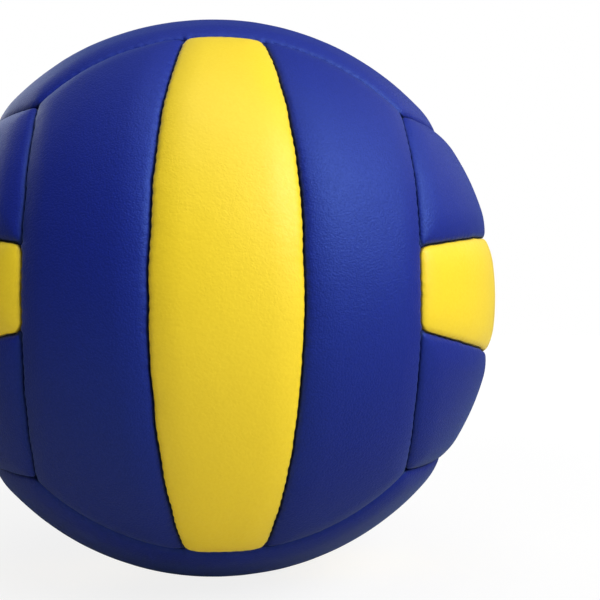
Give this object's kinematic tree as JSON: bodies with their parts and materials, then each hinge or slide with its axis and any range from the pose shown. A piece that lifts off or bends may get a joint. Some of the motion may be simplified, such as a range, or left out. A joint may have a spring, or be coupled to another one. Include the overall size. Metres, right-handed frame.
{
  "type": "volleyball",
  "caption": "Stitched indoor volleyball of blue and yellow padded leather strips over a rubber bladder, with a pull-out plug in its needle valve.",
  "frame": {"origin": "centre of the ball", "axes": "+Z out through the valve, in the middle of the top face; -Y through the middle of the front face, whose strips run along Z; +X through the middle of the right face, whose strips run along Y"},
  "size_m": [0.21, 0.21, 0.2099],
  "materials": {
    "leather_blue": "satin",
    "leather_yellow": "satin",
    "pad_foam": "matte",
    "lining_cloth": "matte",
    "thread": "satin",
    "bladder_rubber": "matte",
    "valve_rubber": "matte",
    "plug_rubber": "satin"
  },
  "bodies": {
    "ball": {"front_left_cover": "leather_blue", "front_middle_cover": "leather_yellow", "front_right_cover": "leather_blue", "back_left_cover": "leather_blue", "back_middle_cover": "leather_yellow", "back_right_cover": "leather_blue", "left_lower_cover": "leather_blue", "left_middle_cover": "leather_yellow", "left_upper_cover": "leather_blue", "right_lower_cover": "leather_blue", "right_middle_cover": "leather_yellow", "right_upper_cover": "leather_blue", "top_back_cover": "leather_blue", "top_middle_cover": "leather_yellow", "top_front_cover": "leather_blue", "bottom_back_cover": "leather_blue", "bottom_middle_cover": "leather_yellow", "bottom_front_cover": "leather_blue", "front_left_foam": "pad_foam", "front_middle_foam": "pad_foam", "front_right_foam": "pad_foam", "back_left_foam": "pad_foam", "back_middle_foam": "pad_foam", "back_right_foam": "pad_foam", "left_lower_foam": "pad_foam", "left_middle_foam": "pad_foam", "left_upper_foam": "pad_foam", "right_lower_foam": "pad_foam", "right_middle_foam": "pad_foam", "right_upper_foam": "pad_foam", "top_back_foam": "pad_foam", "top_middle_foam": "pad_foam", "top_front_foam": "pad_foam", "bottom_back_foam": "pad_foam", "bottom_middle_foam": "pad_foam", "bottom_front_foam": "pad_foam", "front_left_lining": "lining_cloth", "front_middle_lining": "lining_cloth", "front_right_lining": "lining_cloth", "back_left_lining": "lining_cloth", "back_middle_lining": "lining_cloth", "back_right_lining": "lining_cloth", "left_lower_lining": "lining_cloth", "left_middle_lining": "lining_cloth", "left_upper_lining": "lining_cloth", "right_lower_lining": "lining_cloth", "right_middle_lining": "lining_cloth", "right_upper_lining": "lining_cloth", "top_back_lining": "lining_cloth", "top_middle_lining": "lining_cloth", "top_front_lining": "lining_cloth", "bottom_back_lining": "lining_cloth", "bottom_middle_lining": "lining_cloth", "bottom_front_lining": "lining_cloth", "seam_thread": "thread", "bladder": "bladder_rubber", "valve_patch": "lining_cloth", "valve_housing": "valve_rubber"},
    "plug": {"valve_plug": "plug_rubber"}
  },
  "joints": [
    {"name": "valve_plug_pull", "type": "slide", "parent": "ball", "child": "plug", "axis": [0, 0, 1], "range_m": [0, 0.02]}
  ]
}
